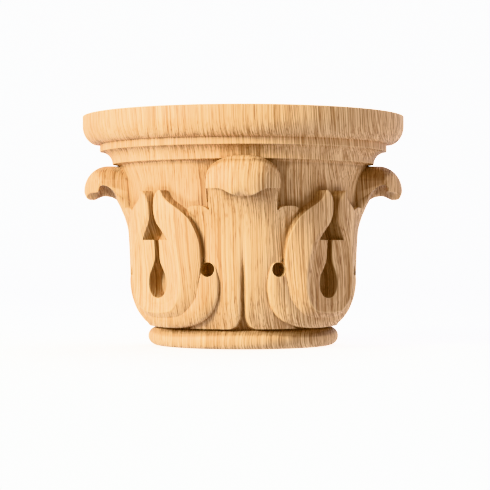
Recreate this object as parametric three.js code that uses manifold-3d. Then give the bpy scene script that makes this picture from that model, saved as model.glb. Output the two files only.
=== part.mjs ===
// Half-round column capital carved from one block of oak, with a flat back that goes against a wall.
// Millimetres, +Z up. The carved front faces -Y. Angles are degrees round the column axis from the front.
import * as THREE from 'three';
import { mergeVertices } from 'three/addons/utils/BufferGeometryUtils.js';
import Module from 'manifold-3d';

// Overall sizes
const ABACUS_RADIUS = 84;
const TOTAL_HEIGHT = 119;
const BACK_Y = ABACUS_RADIUS / 2;
const TURNED_SEGMENTS = 68;

// Ring at the foot
const RING_TUBE_RADIUS = 4.75;
const RING_CENTRE_RADIUS = 45.05;
const RING_STEPS = 6;

// Bell that flares from the ring to the abacus: height, radius
const BELL = [[9.5, 43], [20, 49], [33, 54], [48, 57], [69, 59.8], [83.5, 61.4], [93.4, 64.6]];

// Abacus mouldings: a cove, a fillet, an ovolo and an upright edge
const COVE_RADIUS = 6.6;
const COVE_CENTRE_RADIUS = 75.1;
const COVE_CENTRE_HEIGHT = 94;
const COVE_STEPS = 4;
const FILLET_TOP = 104.2;
const OVOLO_INNER_RADIUS = 75.9;
const OVOLO_TOP = 113.8;
const OVOLO_STEPS = 5;

// Main leaves stand at every leaf step, with a lobe in the middle between two of them
const LEAF_STEP = 90;
const BURIED = 7;

// Finger and bowl of a lobe, from the finger's tip down to the middle of the bowl.
// Each station: outer edge, ridge and inner foot as angle, height, radius; last the spread of the outer wall.
const FINGER = [
  [38.3, 79.2, 65.9, 39.2, 79.2, 66.2, 39.9, 79.2, 65.8, 1.5],
  [37.3, 76.3, 65.4, 40.7, 77.0, 66.5, 41.7, 77.2, 65.7, 3.5],
  [35.0, 73.6, 65.2, 41.9, 74.2, 66.4, 43.0, 74.3, 65.4, 5.0],
  [31.0, 70.7, 65.0, 42.4, 71.0, 66.2, 43.5, 71.0, 65.0, 5.6],
  [27.0, 67.3, 64.5, 42.2, 67.2, 66.0, 43.5, 67.2, 64.6, 4.2],
  [24.2, 63.5, 63.7, 40.4, 63.0, 65.6, 42.3, 63.0, 64.1, 2.4],
  [20.9, 55.0, 62.1, 33.8, 54.6, 64.8, 36.6, 54.4, 63.2, 0.4],
  [20.0, 44.0, 60.5, 30.8, 44.0, 64.0, 34.4, 44.0, 62.3, 0],
  [21.4, 34.0, 59.8, 29.8, 34.6, 63.8, 32.4, 35.0, 62.0, 0],
  [23.7, 25.0, 58.8, 31.0, 26.0, 63.3, 33.6, 27.2, 61.7, 0],
  [29.5, 17.3, 57.3, 35.5, 20.2, 62.3, 38.4, 23.6, 61.1, 0],
  [36.7, 14.7, 56.4, 40.4, 18.9, 61.9, 42.2, 22.9, 60.8, 0],
  [45.0, 14.0, 56.2, 45.0, 18.7, 61.8, 45.0, 22.8, 60.8, 0],
];
const FINGER_ANGLES = [0, 3, 6];
const FINGER_FACE = [0, 0.25, 0.5, 0.75];
const FINGER_SWELL = 0.35;

// Outer band of a lobe, from the eyelet down to the middle of the bowl.
// Each station: outer edge and inner edge as angle, height, radius.
const BAND = [
  [15.4, 45.2, 56.0, 21.5, 45.2, 56.0],
  [13.9, 43.2, 58.6, 21.8, 42.0, 57.8],
  [12.6, 40.0, 59.4, 22.2, 38.0, 58.9],
  [11.6, 33.5, 59.8, 23.2, 32.0, 59.1],
  [12.2, 26.5, 59.0, 25.4, 25.5, 58.6],
  [15.0, 20.0, 56.9, 29.0, 20.4, 58.6],
  [20.0, 15.3, 55.3, 33.0, 18.1, 58.6],
  [27.5, 12.2, 54.7, 38.0, 17.0, 58.5],
  [36.0, 10.8, 54.6, 41.5, 16.6, 58.5],
  [45.0, 10.5, 54.6, 45.0, 16.5, 58.5],
];
const BAND_FACE = [0, 0.15, 0.4, 0.7, 1];
const BAND_SWELL = 0.9;

// Inner lip beside the slot, from the shelf down to the middle of the bowl.
// Each station: foot under the finger's bevel and slot edge as angle, height, radius.
const INNER_LIP = [
  [35.4, 54.6, 63.1, 43.5, 54.6, 61.4],
  [34.8, 49.6, 62.7, 43.4, 49.6, 61.0],
  [33.8, 44.6, 62.3, 43.1, 44.4, 60.8],
  [32.4, 40.6, 62.1, 41.4, 40.6, 60.8],
  [31.4, 36.6, 62.0, 39.4, 36.8, 60.8],
  [31.2, 32.6, 61.9, 38.8, 32.6, 60.8],
  [32.0, 28.6, 61.7, 39.6, 29.2, 60.7],
  [34.4, 25.0, 61.4, 41.4, 26.9, 60.5],
  [39.0, 22.6, 60.9, 43.2, 26.0, 60.4],
  [45.0, 21.9, 60.6, 45.0, 25.7, 60.3],
];
const LIP_FACE = [0, 0.5, 1];
const LIP_SWELL = 0.4;
const EDGE_ANGLES = [0, 3];
const LOBE_STEPS = 2;

// Pocket sunk into the bell between the two fingers of a lobe: height, half-width, radius of its floor
const POCKET = [
  [24, 5, 51.6],
  [30, 8, 52.2],
  [45, 8, 53.4],
  [55, 8, 54.8],
  [65, 7, 55.6],
  [70, 6, 57],
  [74, 4.6, 59.2],
  [77, 3.6, 61.2],
];
const POCKET_MOUTH = 75;
const POCKET_COLUMNS = [-1, -0.4, 0.4, 1];
const POCKET_HOLLOW = 0.6;
// The pocket's two walls run together above the shelf
const VALLEY_SHARE = 0.85;
const VALLEY_FROM = 50;
const VALLEY_TURN = 8;

// Stem and neck of a main leaf, from the foot up to the curl.
// Each station: height, radius, half-width, groove half-width, groove depth, fall towards the side.
const STEM = [
  [10.3, 49.3, 33.0, 5.8, 5.0, 0.0],
  [11.2, 49.9, 31.0, 3.5, 5.0, 0.1],
  [12.4, 50.7, 28.5, 2.1, 4.8, 0.2],
  [15.6, 52.8, 22.5, 0.6, 4.2, 0.4],
  [19.0, 54.8, 18.5, 0.3, 3.4, 0.6],
  [25.0, 57.3, 15.2, 0.3, 2.9, 0.8],
  [33.0, 58.9, 14.0, 0.3, 2.3, 0.9],
  [40.0, 59.3, 16.0, 0.3, 1.6, 1.0],
  [46.0, 59.5, 20.0, 0.2, 1.0, 1.2],
  [52.0, 59.8, 20.9, 0.2, 0.5, 1.2],
  [60.0, 60.4, 22.9, 0.2, 0.1, 1.0],
  [66.0, 62.0, 25.4, 0.2, 0.0, 0.8],
  [69.4, 63.4, 26.0, 0.2, 0.0, 0.6],
  [72.4, 64.7, 26.0, 0.2, 0.0, 0.4],
  [75.0, 66.1, 26.0, 0.2, 0.0, 0.2],
  [78.7, 67.8, 26.0, 0.2, 0.0, 0.0],
  [81.0, 69.7, 26.0, 0.2, 0.0, 0.0],
];
const GROOVE_LIP = 1.1;
const STEM_COLUMNS = 5;
const FALL_FROM = 0.375;
const GROOVE_MIDDLE = 0.001;

// Notch cut beside the neck, which leaves a rounded shoulder on the stem
const NECK_FOOT_HALF_WIDTH = 16.7;
const NECK_TOP_HALF_WIDTH = 18.6;
const SHOULDER_MIDDLE = 20.9;
const SHOULDER_HALF_WIDTH = 5.1;
const SHOULDER_CROWN = 1.1;
const SHOULDER_BASE = 69.4;
const SHOULDER_RISE = 2.1;
const SHOULDER_STEPS = 4;
const NOTCH_OUTER_ANGLE = 31;
const NOTCH_TOP = 90;
// Depth of the notch from the axis and how far it is eased back there
const NOTCH_EASING = [[58, 0], [62.6, 0], [64.6, 0.6], [80, 0.7]];

// Curled tip of a main leaf. Widths run across the leaf, depths out from the column axis.
const CURL_HALF_WIDTH = 17.9;
const FRONT_CURL_TOP = 95.6;
const SIDE_CURL_TOP = 93.5;
const CURL_EDGE_TOP = 84.5;
const CURL_ROUNDNESS = 2.05;
const CURL_BACK = 50;
const CURL_FOOT = 72;
const CURL_FOOT_RADIUS = 56;
const CURL_CREST = 71;
const CURL_REACH = 83.5;
const NOSE_RADIUS = 20.5;
const NOSE_ROUND_PART = 13;
const NOSE_SIDE_SLOPE = 0.72;
const NOSE_SHARE = 0.26;
const TONGUE_HEIGHT = 75.6;
const TONGUE_EDGE_HEIGHT = 79.3;
const TONGUE_HALF_WIDTH = 3;
const TONGUE_TURN = 9.5;
const TONGUE_ROUNDING = 4.7;
const TONGUE_EDGE_ROUNDING = 0.4;
const TONGUE_ROUND_PART = 8;
const CURL_SLICES = 14;
const CURL_TOP_STEPS = 5;
const TONGUE_STEPS = 3;
// Underside of the curl from the tongue in to the neck: depth and height at the middle, then at the edge
const UNDERSIDE = [
  [76.7, 76.2, 74.4, 80.8],
  [74.6, 77.2, 73.6, 82.4],
  [72.5, 77.6, 72.0, 82.9],
  [70.4, 77.3, 69.5, 82.1],
  [68.3, 76.7, 67.8, 80.9],
  [66.0, 75.4, 66.0, 79.6],
];
const ARCH_HALF_WIDTH = 2;
const ARCH_TURN = 9.5;

// Eyelets drilled towards the axis between a stem and a lobe
const EYELET_ANGLE = 17.2;
const EYELET_HEIGHT = 40;
const EYELET_RADIUS = 3.6;
const EYELET_FLOOR = 49;
const EYELET_MOUTH = 70;
const EYELET_SIDES = 20;

const QUARTER_TURN = Math.PI / 2;
const MERGE_DISTANCE = 1e-4;
const wasm = await Module();
wasm.setup();

// A point given by angle from the front, height and distance from the column axis
function polar([angle, height, radius]) {
  const turn = THREE.MathUtils.degToRad(angle);
  return new THREE.Vector3(radius * Math.sin(turn), -radius * Math.cos(turn), height);
}

function mix(from, to, share) {
  return from + (to - from) * share;
}

function smooth(value) {
  return THREE.MathUtils.smoothstep(value, 0, 1);
}

// Value in a column of a table whose rows start with a rising height
function readTable(table, height, column) {
  let row = 0;
  while (row < table.length - 2 && table[row + 1][0] < height) {
    row += 1;
  }
  const share = (height - table[row][0]) / (table[row + 1][0] - table[row][0]);
  return mix(table[row][column], table[row + 1][column], THREE.MathUtils.clamp(share, 0, 1));
}

function sunkRadius(height) {
  return readTable(BELL, height, 1) - BURIED;
}

// Rows on smooth curves through the stations
function throughStations(stations, steps) {
  const last = stations.length - 1;
  const rows = [];
  for (let i = 0; i < last; i += 1) {
    const before = stations[Math.max(i - 1, 0)];
    const after = stations[Math.min(i + 2, last)];
    for (let step = 0; step < steps; step += 1) {
      const t = step / steps;
      rows.push(stations[i].map((from, k) => {
        const to = stations[i + 1][k];
        const slopeFrom = (to - before[k]) / 2;
        const slopeTo = (after[k] - from) / 2;
        const bend = mix(slopeFrom - (to - from), (to - from) - slopeTo, t);
        return mix(from, to, t) + t * (1 - t) * bend;
      }));
    }
  }
  rows.push(stations[last]);
  return rows;
}

// Closed body through a row of rings, with its two ends filled as their flat outlines are
function loft(rings, firstOutline, lastOutline) {
  const count = rings[0].length;
  const index = [];
  for (let i = 0; i < rings.length - 1; i += 1) {
    for (let k = 0; k < count; k += 1) {
      const a = i * count + k;
      const b = i * count + ((k + 1) % count);
      index.push(a, b, b + count, a, b + count, a + count);
    }
  }
  const fillEnd = (outline, start, reversed) => {
    const clockwise = THREE.ShapeUtils.isClockWise(outline);
    THREE.ShapeUtils.triangulateShape(outline, []).forEach((face) => {
      const faceClockwise = THREE.ShapeUtils.isClockWise(face.map((k) => outline[k]));
      const follows = faceClockwise === clockwise;
      const [a, b, c] = face.map((k) => start + k);
      index.push(...(follows === reversed ? [a, c, b] : [a, b, c]));
    });
  };
  fillEnd(firstOutline, 0, true);
  fillEnd(lastOutline, (rings.length - 1) * count, false);
  const geometry = new THREE.BufferGeometry();
  geometry.setFromPoints(rings.flat());
  geometry.setIndex(index);
  return geometry;
}

function polarLoft(rings) {
  const outlineOf = (ring) => ring.map(([angle, , radius]) => new THREE.Vector2(angle, radius));
  return loft(rings.map((ring) => ring.map(polar)), outlineOf(rings[0]), outlineOf(rings[rings.length - 1]));
}

// Volume inside the faces, negative where they face inwards
function enclosedVolume(positions, faces) {
  const corner = (k) => new THREE.Vector3().fromArray(positions, faces[k] * 3);
  let volume = 0;
  for (let k = 0; k < faces.length; k += 3) {
    volume += corner(k).dot(corner(k + 1).cross(corner(k + 2)));
  }
  return volume / 6;
}

function solidOf(source) {
  const geometry = source.clone();
  geometry.deleteAttribute('normal');
  geometry.deleteAttribute('uv');
  const merged = mergeVertices(geometry, MERGE_DISTANCE);
  const positions = new Float32Array(merged.attributes.position.array);
  const all = merged.index.array;
  const faces = [];
  for (let k = 0; k < all.length; k += 3) {
    const face = [all[k], all[k + 1], all[k + 2]];
    if (new Set(face).size === 3) {
      faces.push(...face);
    }
  }
  if (enclosedVolume(positions, faces) < 0) {
    faces.reverse();
  }
  const mesh = new wasm.Mesh({ numProp: 3, vertProperties: positions, triVerts: new Uint32Array(faces) });
  return new wasm.Manifold(mesh);
}

// Ring, bell and abacus, turned from one profile of radius and height
function turnedBody() {
  const profile = [new THREE.Vector2(0, 0)];
  const quarterArc = (steps, place) => {
    for (let i = 0; i <= steps; i += 1) {
      profile.push(place(QUARTER_TURN * (i / steps)));
    }
  };
  quarterArc(RING_STEPS, (a) => new THREE.Vector2(
    RING_CENTRE_RADIUS + RING_TUBE_RADIUS * Math.sin(2 * a),
    RING_TUBE_RADIUS * (1 - Math.cos(2 * a)),
  ));
  BELL.forEach(([height, radius]) => profile.push(new THREE.Vector2(radius, height)));
  quarterArc(COVE_STEPS, (a) => new THREE.Vector2(
    COVE_CENTRE_RADIUS - COVE_RADIUS * Math.cos(a),
    COVE_CENTRE_HEIGHT + COVE_RADIUS * Math.sin(a),
  ));
  profile.push(new THREE.Vector2(COVE_CENTRE_RADIUS, FILLET_TOP));
  quarterArc(OVOLO_STEPS, (a) => new THREE.Vector2(
    mix(OVOLO_INNER_RADIUS, ABACUS_RADIUS, Math.sin(a)),
    mix(OVOLO_TOP, FILLET_TOP, Math.cos(a)),
  ));
  profile.push(new THREE.Vector2(ABACUS_RADIUS, TOTAL_HEIGHT), new THREE.Vector2(0, TOTAL_HEIGHT));
  return new THREE.LatheGeometry(profile, TURNED_SEGMENTS).rotateX(QUARTER_TURN);
}

// One strip of a lobe, mirrored across the lobe's middle; crossing gives the ring at a row
function strip(stations, angleColumns, crossing) {
  const half = throughStations(stations, LOBE_STEPS);
  const mirrorRow = (row) => row.map((value, k) => (angleColumns.includes(k) ? LEAF_STEP - value : value));
  const otherHalf = half.slice(0, -1).reverse().map(mirrorRow);
  const rings = half.map((row) => crossing(row, -1)).concat(otherHalf.map((row) => crossing(row, 1)));
  return polarLoft(rings);
}

function across(from, to, shares, swell) {
  return shares.map((t) => {
    const point = from.map((value, k) => mix(value, to[k], t));
    point[2] += swell * 4 * t * (1 - t);
    return point;
  });
}

function sunk([angle, height], spread = 0) {
  return [angle + spread, height, sunkRadius(height)];
}

function fingerStrip() {
  return strip(FINGER, FINGER_ANGLES, (row, side) => {
    const outer = row.slice(0, 3);
    const ridge = row.slice(3, 6);
    const foot = row.slice(6, 9);
    const face = across(outer, ridge, FINGER_FACE, FINGER_SWELL);
    const valley = VALLEY_SHARE * smooth((foot[1] - VALLEY_FROM) / VALLEY_TURN);
    const inside = sunk([mix(foot[0], LEAF_STEP / 2, valley), foot[1]]);
    return [...face, ridge, foot, inside, sunk(outer, side * row[9])];
  });
}

function edgedStrip(stations, shares, swell) {
  return strip(stations, EDGE_ANGLES, (row) => {
    const outer = row.slice(0, 3);
    const inner = row.slice(3, 6);
    return [...across(outer, inner, shares, swell), sunk(inner), sunk(outer)];
  });
}

// Body cut out of the bell behind the fingers of a lobe
function pocket() {
  const middle = LEAF_STEP / 2;
  return polarLoft(POCKET.map(([height, halfWidth, floor]) => {
    const hollow = POCKET_COLUMNS.map((t) => [middle + t * halfWidth, height, floor + POCKET_HOLLOW * t * t]);
    const mouth = [1, -1].map((t) => [middle + t * halfWidth, height, POCKET_MOUTH]);
    return hollow.concat(mouth);
  }));
}

function stem() {
  const rings = STEM.map(([height, radius, halfWidth, grooveHalf, grooveDepth, fall]) => {
    const floor = radius - grooveDepth;
    const right = [[GROOVE_MIDDLE, height, floor], [grooveHalf, height, floor]];
    for (let i = 0; i <= STEM_COLUMNS; i += 1) {
      const t = i / STEM_COLUMNS;
      const angle = mix(grooveHalf + GROOVE_LIP, halfWidth, t);
      right.push([angle, height, radius - fall * smooth((t - FALL_FROM) / (1 - FALL_FROM))]);
    }
    right.push([halfWidth, height, sunkRadius(height)]);
    const left = right.map(([angle, , r]) => [-angle, height, r]).reverse();
    return left.concat(right);
  });
  return polarLoft(rings);
}

// Body cut away beside the neck and above the shoulder
function notch(side) {
  const outlines = NOTCH_EASING.map(([radius, ease]) => {
    const base = SHOULDER_BASE - ease;
    const shoulderHalf = SHOULDER_HALF_WIDTH - THREE.MathUtils.radToDeg(ease / radius);
    const neckAngle = (halfWidth) => THREE.MathUtils.radToDeg(Math.asin((halfWidth - ease) / radius));
    const neckFoot = Math.min(neckAngle(NECK_FOOT_HALF_WIDTH), SHOULDER_MIDDLE - shoulderHalf);
    const outline = [[neckAngle(NECK_TOP_HALF_WIDTH), NOTCH_TOP], [neckFoot, base]];
    const arc = [];
    for (let i = 0; i <= SHOULDER_STEPS; i += 1) {
      const a = QUARTER_TURN * (i / SHOULDER_STEPS);
      arc.push([mix(SHOULDER_CROWN, shoulderHalf, Math.cos(a)), base + SHOULDER_RISE * Math.sin(a)]);
    }
    arc.forEach(([half, height]) => outline.push([SHOULDER_MIDDLE - half, height]));
    arc.reverse().forEach(([half, height]) => outline.push([SHOULDER_MIDDLE + half, height]));
    outline.push([NOTCH_OUTER_ANGLE, base], [NOTCH_OUTER_ANGLE, NOTCH_TOP]);
    return outline.map(([angle, height]) => new THREE.Vector2(angle, height));
  });
  const rings = outlines.map((outline, i) => outline.map(({ x: angle, y: height }) => (
    polar([side * angle, height, NOTCH_EASING[i][0]])
  )));
  return loft(rings, outlines[0], outlines[outlines.length - 1]);
}

// Depth of the nose, round in plan near the middle and straight on to the leaf's edge
function noseReach(distance) {
  const roundPart = Math.min(distance, NOSE_ROUND_PART);
  const fall = NOSE_RADIUS - Math.sqrt(NOSE_RADIUS ** 2 - roundPart ** 2);
  return CURL_REACH - fall - NOSE_SIDE_SLOPE * (distance - roundPart);
}

// Outline of the curl at a distance across the leaf, as depth and height; crest is the height of its top
function curlSlice(offset, crest) {
  const distance = Math.abs(offset);
  const w = Math.min(distance / CURL_HALF_WIDTH, 1);
  const top = mix(CURL_EDGE_TOP, crest, (1 - w ** CURL_ROUNDNESS) ** (1 / CURL_ROUNDNESS));
  const reach = noseReach(distance);
  const lift = smooth((distance - TONGUE_HALF_WIDTH) / TONGUE_TURN);
  const arch = smooth((distance - ARCH_HALF_WIDTH) / ARCH_TURN);
  const tongue = mix(TONGUE_HEIGHT, TONGUE_EDGE_HEIGHT, lift);
  const nose = mix(tongue, top, NOSE_SHARE);
  const tip = reach - mix(TONGUE_ROUNDING, TONGUE_EDGE_ROUNDING, smooth(distance / TONGUE_ROUND_PART));
  const points = [new THREE.Vector2(CURL_BACK, CURL_FOOT), new THREE.Vector2(CURL_BACK, top)];
  for (let i = 0; i <= CURL_TOP_STEPS; i += 1) {
    const a = QUARTER_TURN * (i / CURL_TOP_STEPS);
    points.push(new THREE.Vector2(mix(CURL_CREST, reach, Math.sin(a)), mix(nose, top, Math.cos(a))));
  }
  for (let i = 1; i <= TONGUE_STEPS; i += 1) {
    const a = QUARTER_TURN * (i / TONGUE_STEPS);
    points.push(new THREE.Vector2(mix(tip, reach, Math.cos(a)), mix(nose, tongue, Math.sin(a))));
  }
  UNDERSIDE.forEach(([depth, height, edgeDepth, edgeHeight]) => {
    points.push(new THREE.Vector2(mix(depth, edgeDepth, arch), mix(height, edgeHeight, arch)));
  });
  points.push(new THREE.Vector2(CURL_FOOT_RADIUS, CURL_FOOT));
  return points;
}

function curl(crest) {
  const slices = [];
  const rings = [];
  for (let i = 0; i <= CURL_SLICES; i += 1) {
    const offset = -CURL_HALF_WIDTH * Math.cos(2 * QUARTER_TURN * (i / CURL_SLICES));
    const slice = curlSlice(offset, crest);
    slices.push(slice);
    rings.push(slice.map(({ x: depth, y: height }) => new THREE.Vector3(offset, -depth, height)));
  }
  return loft(rings, slices[0], slices[CURL_SLICES]);
}

function turnedSolid(shape, angle) {
  return solidOf(shape.rotateZ(THREE.MathUtils.degToRad(angle)));
}

// Stem with its neck cut free of the shoulders, and the curl on it
function mainLeaf(angle, crest) {
  let leaf = turnedSolid(stem(), angle);
  [-1, 1].forEach((side) => {
    leaf = leaf.subtract(turnedSolid(notch(side), angle));
  });
  return leaf.add(turnedSolid(curl(crest), angle));
}

function lobe(angle) {
  const finger = turnedSolid(fingerStrip(), angle);
  const band = turnedSolid(edgedStrip(BAND, BAND_FACE, BAND_SWELL), angle);
  const lip = turnedSolid(edgedStrip(INNER_LIP, LIP_FACE, LIP_SWELL), angle);
  return finger.add(band).add(lip);
}

function eyelet() {
  const length = EYELET_MOUTH - EYELET_FLOOR;
  const drill = new THREE.CylinderGeometry(EYELET_RADIUS, EYELET_RADIUS, length, EYELET_SIDES);
  return drill.translate(0, -EYELET_FLOOR - length / 2, EYELET_HEIGHT);
}

// Everything behind the wall plane
function wallBlock() {
  const size = 4 * ABACUS_RADIUS;
  return new THREE.BoxGeometry(size, size, size).translate(0, size / 2, 0);
}

const LEAF_ANGLES = [-LEAF_STEP, 0, LEAF_STEP];
const LOBE_ANGLES = [-LEAF_STEP, 0];
let body = solidOf(turnedBody());
LOBE_ANGLES.forEach((angle) => {
  body = body.subtract(turnedSolid(pocket(), angle));
});
LEAF_ANGLES.forEach((angle) => {
  body = body.add(mainLeaf(angle, angle === 0 ? FRONT_CURL_TOP : SIDE_CURL_TOP));
});
LOBE_ANGLES.forEach((angle) => {
  body = body.add(lobe(angle));
});
LEAF_ANGLES.forEach((angle) => [-EYELET_ANGLE, EYELET_ANGLE].forEach((side) => {
  body = body.subtract(turnedSolid(eyelet(), angle + side));
}));
body = body.subtract(solidOf(wallBlock()));

const carved = body.getMesh();
const geometry = new THREE.BufferGeometry();
geometry.setAttribute('position', new THREE.BufferAttribute(new Float32Array(carved.vertProperties), 3));
geometry.setIndex(new THREE.BufferAttribute(new Uint32Array(carved.triVerts), 1));
geometry.computeVertexNormals();

const oak = new THREE.MeshStandardMaterial({ color: 0xd9a871, roughness: 0.62, metalness: 0 });
const capital = new THREE.Mesh(geometry, oak);
capital.name = 'capital';
capital.position.set(0, BACK_Y, 0);
const part = new THREE.Group();
part.add(capital);
export default part;
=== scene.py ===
"""Half-round column capital carved from one block of oak, with its floor, light and camera."""
import math

import bmesh
import bpy
from mathutils import Matrix, Vector
from mathutils.bvhtree import BVHTree


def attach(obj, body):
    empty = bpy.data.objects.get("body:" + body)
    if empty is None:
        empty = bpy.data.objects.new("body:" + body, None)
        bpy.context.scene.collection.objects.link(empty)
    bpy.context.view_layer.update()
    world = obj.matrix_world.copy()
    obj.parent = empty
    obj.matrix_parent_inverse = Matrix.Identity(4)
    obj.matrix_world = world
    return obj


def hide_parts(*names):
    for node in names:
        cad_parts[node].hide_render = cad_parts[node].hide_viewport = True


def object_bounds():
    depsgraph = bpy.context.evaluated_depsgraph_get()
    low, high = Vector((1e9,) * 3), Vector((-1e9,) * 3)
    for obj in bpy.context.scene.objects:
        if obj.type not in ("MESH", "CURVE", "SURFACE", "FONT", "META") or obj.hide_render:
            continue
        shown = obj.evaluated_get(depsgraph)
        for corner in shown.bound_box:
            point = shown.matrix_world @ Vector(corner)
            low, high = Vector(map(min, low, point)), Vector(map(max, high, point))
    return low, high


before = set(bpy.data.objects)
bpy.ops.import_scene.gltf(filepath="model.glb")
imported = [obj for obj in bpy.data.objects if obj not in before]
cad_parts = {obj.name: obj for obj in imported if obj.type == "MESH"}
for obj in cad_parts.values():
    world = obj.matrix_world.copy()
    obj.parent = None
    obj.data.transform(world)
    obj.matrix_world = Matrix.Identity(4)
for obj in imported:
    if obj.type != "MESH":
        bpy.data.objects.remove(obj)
solid_low, solid_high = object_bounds()

# Sizes are in millimetres, and angles in degrees round the column axis from the front.
# The finished carving is scaled to metres.
MILLIMETRE = 0.001
ABACUS_RADIUS = 84.0
TOTAL_HEIGHT = 119.0
BACK_Y = ABACUS_RADIUS / 2
TURNED_SEGMENTS = 300
WELD = 0.001

# Ring at the foot
RING_TUBE_RADIUS = 4.75
RING_CENTRE_RADIUS = 45.05
RING_STEPS = 24

# Bell that flares from the ring to the abacus: height, radius
BELL = [(9.5, 43), (20, 49), (33, 54), (48, 57), (69, 59.8), (83.5, 61.4), (93.4, 64.6)]
BELL_STEPS = 6

# Abacus mouldings: a cove, a fillet, an ovolo and an upright edge
COVE_RADIUS = 6.6
COVE_CENTRE_RADIUS = 75.1
COVE_CENTRE_HEIGHT = 94.0
COVE_STEPS = 14
FILLET_TOP = 104.2
OVOLO_INNER_RADIUS = 75.9
OVOLO_TOP = 113.8
OVOLO_STEPS = 16
ARRIS = 0.5

# Main leaves stand at every leaf step, with a lobe in the middle between two of them
LEAF_STEP = 90.0
MAIN_LEAF_COUNT = 3
SIDE_LEAF_COUNT = 2
LOBE_COUNT = 2
# Depth to which leaves and lobes run on under the surface of the bell
BURIED = 7.0

# Finger and bowl of a lobe, from the finger's tip down to the middle of the bowl.
# Each station: outer edge, ridge and inner foot as angle, height, radius, then the spread of the outer wall.
FINGER = [
    (38.3, 79.2, 65.9, 39.2, 79.2, 66.2, 39.9, 79.2, 65.8, 1.5),
    (37.3, 76.3, 65.4, 40.7, 77.0, 66.5, 41.7, 77.2, 65.7, 3.5),
    (35.0, 73.6, 65.2, 41.9, 74.2, 66.4, 43.0, 74.3, 65.4, 5.0),
    (31.0, 70.7, 65.0, 42.4, 71.0, 66.2, 43.5, 71.0, 65.0, 5.6),
    (27.0, 67.3, 64.5, 42.2, 67.2, 66.0, 43.5, 67.2, 64.6, 4.2),
    (24.2, 63.5, 63.7, 40.4, 63.0, 65.6, 42.3, 63.0, 64.1, 2.4),
    (20.9, 55.0, 62.1, 33.8, 54.6, 64.8, 36.6, 54.4, 63.2, 0.4),
    (20.0, 44.0, 60.5, 30.8, 44.0, 64.0, 34.4, 44.0, 62.3, 0),
    (21.4, 34.0, 59.8, 29.8, 34.6, 63.8, 32.4, 35.0, 62.0, 0),
    (23.7, 25.0, 58.8, 31.0, 26.0, 63.3, 33.6, 27.2, 61.7, 0),
    (29.5, 17.3, 57.3, 35.5, 20.2, 62.3, 38.4, 23.6, 61.1, 0),
    (36.7, 14.7, 56.4, 40.4, 18.9, 61.9, 42.2, 22.9, 60.8, 0),
    (45.0, 14.0, 56.2, 45.0, 18.7, 61.8, 45.0, 22.8, 60.8, 0),
]
FINGER_ANGLES = (0, 3, 6)
FINGER_FACE = [i / 9 for i in range(1, 9)]
FINGER_SWELL = 0.35
RIDGE_ROUNDING = 2.4
EDGE_ROUNDING = 0.7
FOOT_ROUNDING = 0.4

# Outer band of a lobe, from the eyelet down to the middle of the bowl.
# Each station: outer edge and inner edge as angle, height, radius.
BAND = [
    (15.4, 45.2, 56.0, 21.5, 45.2, 56.0),
    (13.9, 43.2, 58.6, 21.8, 42.0, 57.8),
    (12.6, 40.0, 59.4, 22.2, 38.0, 58.9),
    (11.6, 33.5, 59.8, 23.2, 32.0, 59.1),
    (12.2, 26.5, 59.0, 25.4, 25.5, 58.6),
    (15.0, 20.0, 56.9, 29.0, 20.4, 58.6),
    (20.0, 15.3, 55.3, 33.0, 18.1, 58.6),
    (27.5, 12.2, 54.7, 38.0, 17.0, 58.5),
    (36.0, 10.8, 54.6, 41.5, 16.6, 58.5),
    (45.0, 10.5, 54.6, 45.0, 16.5, 58.5),
]
BAND_FACE = [0.3 + 0.7 * i / 8 for i in range(9)]
BAND_SWELL = 0.9
BAND_EDGE_ROUNDING = 1.8

# Inner lip beside the slot, from the shelf down to the middle of the bowl.
# Each station: foot under the finger's bevel and slot edge as angle, height, radius.
INNER_LIP = [
    (35.4, 54.6, 63.1, 43.5, 54.6, 61.4),
    (34.8, 49.6, 62.7, 43.4, 49.6, 61.0),
    (33.8, 44.6, 62.3, 43.1, 44.4, 60.8),
    (32.4, 40.6, 62.1, 41.4, 40.6, 60.8),
    (31.4, 36.6, 62.0, 39.4, 36.8, 60.8),
    (31.2, 32.6, 61.9, 38.8, 32.6, 60.8),
    (32.0, 28.6, 61.7, 39.6, 29.2, 60.7),
    (34.4, 25.0, 61.4, 41.4, 26.9, 60.5),
    (39.0, 22.6, 60.9, 43.2, 26.0, 60.4),
    (45.0, 21.9, 60.6, 45.0, 25.7, 60.3),
]
LIP_FACE = [i / 6 for i in range(6)]
LIP_SWELL = 0.4
EDGE_ANGLES = (0, 3)
LOBE_STEPS = 7
ROUNDING_STEPS = 5
# A rounding takes at most this share of the stretch to the next corner
ROUNDING_LIMIT = 0.45

# Pocket sunk into the bell between the two fingers of a lobe: height, half-width, radius of its floor
POCKET = [
    (24.0, 5.0, 51.6),
    (30.0, 8.0, 52.2),
    (45.0, 8.0, 53.4),
    (55.0, 8.0, 54.8),
    (65.0, 7.0, 55.6),
    (70.0, 6.0, 57.0),
    (74.0, 4.6, 59.2),
    (77.0, 3.6, 61.2),
]
POCKET_MOUTH = 75.0
POCKET_STEPS = 5
POCKET_COLUMNS = 8
POCKET_HOLLOW = 0.6
# The pocket's two walls run together above the shelf
VALLEY_SHARE = 0.85
VALLEY_FROM = 50.0
VALLEY_TURN = 8.0

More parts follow.
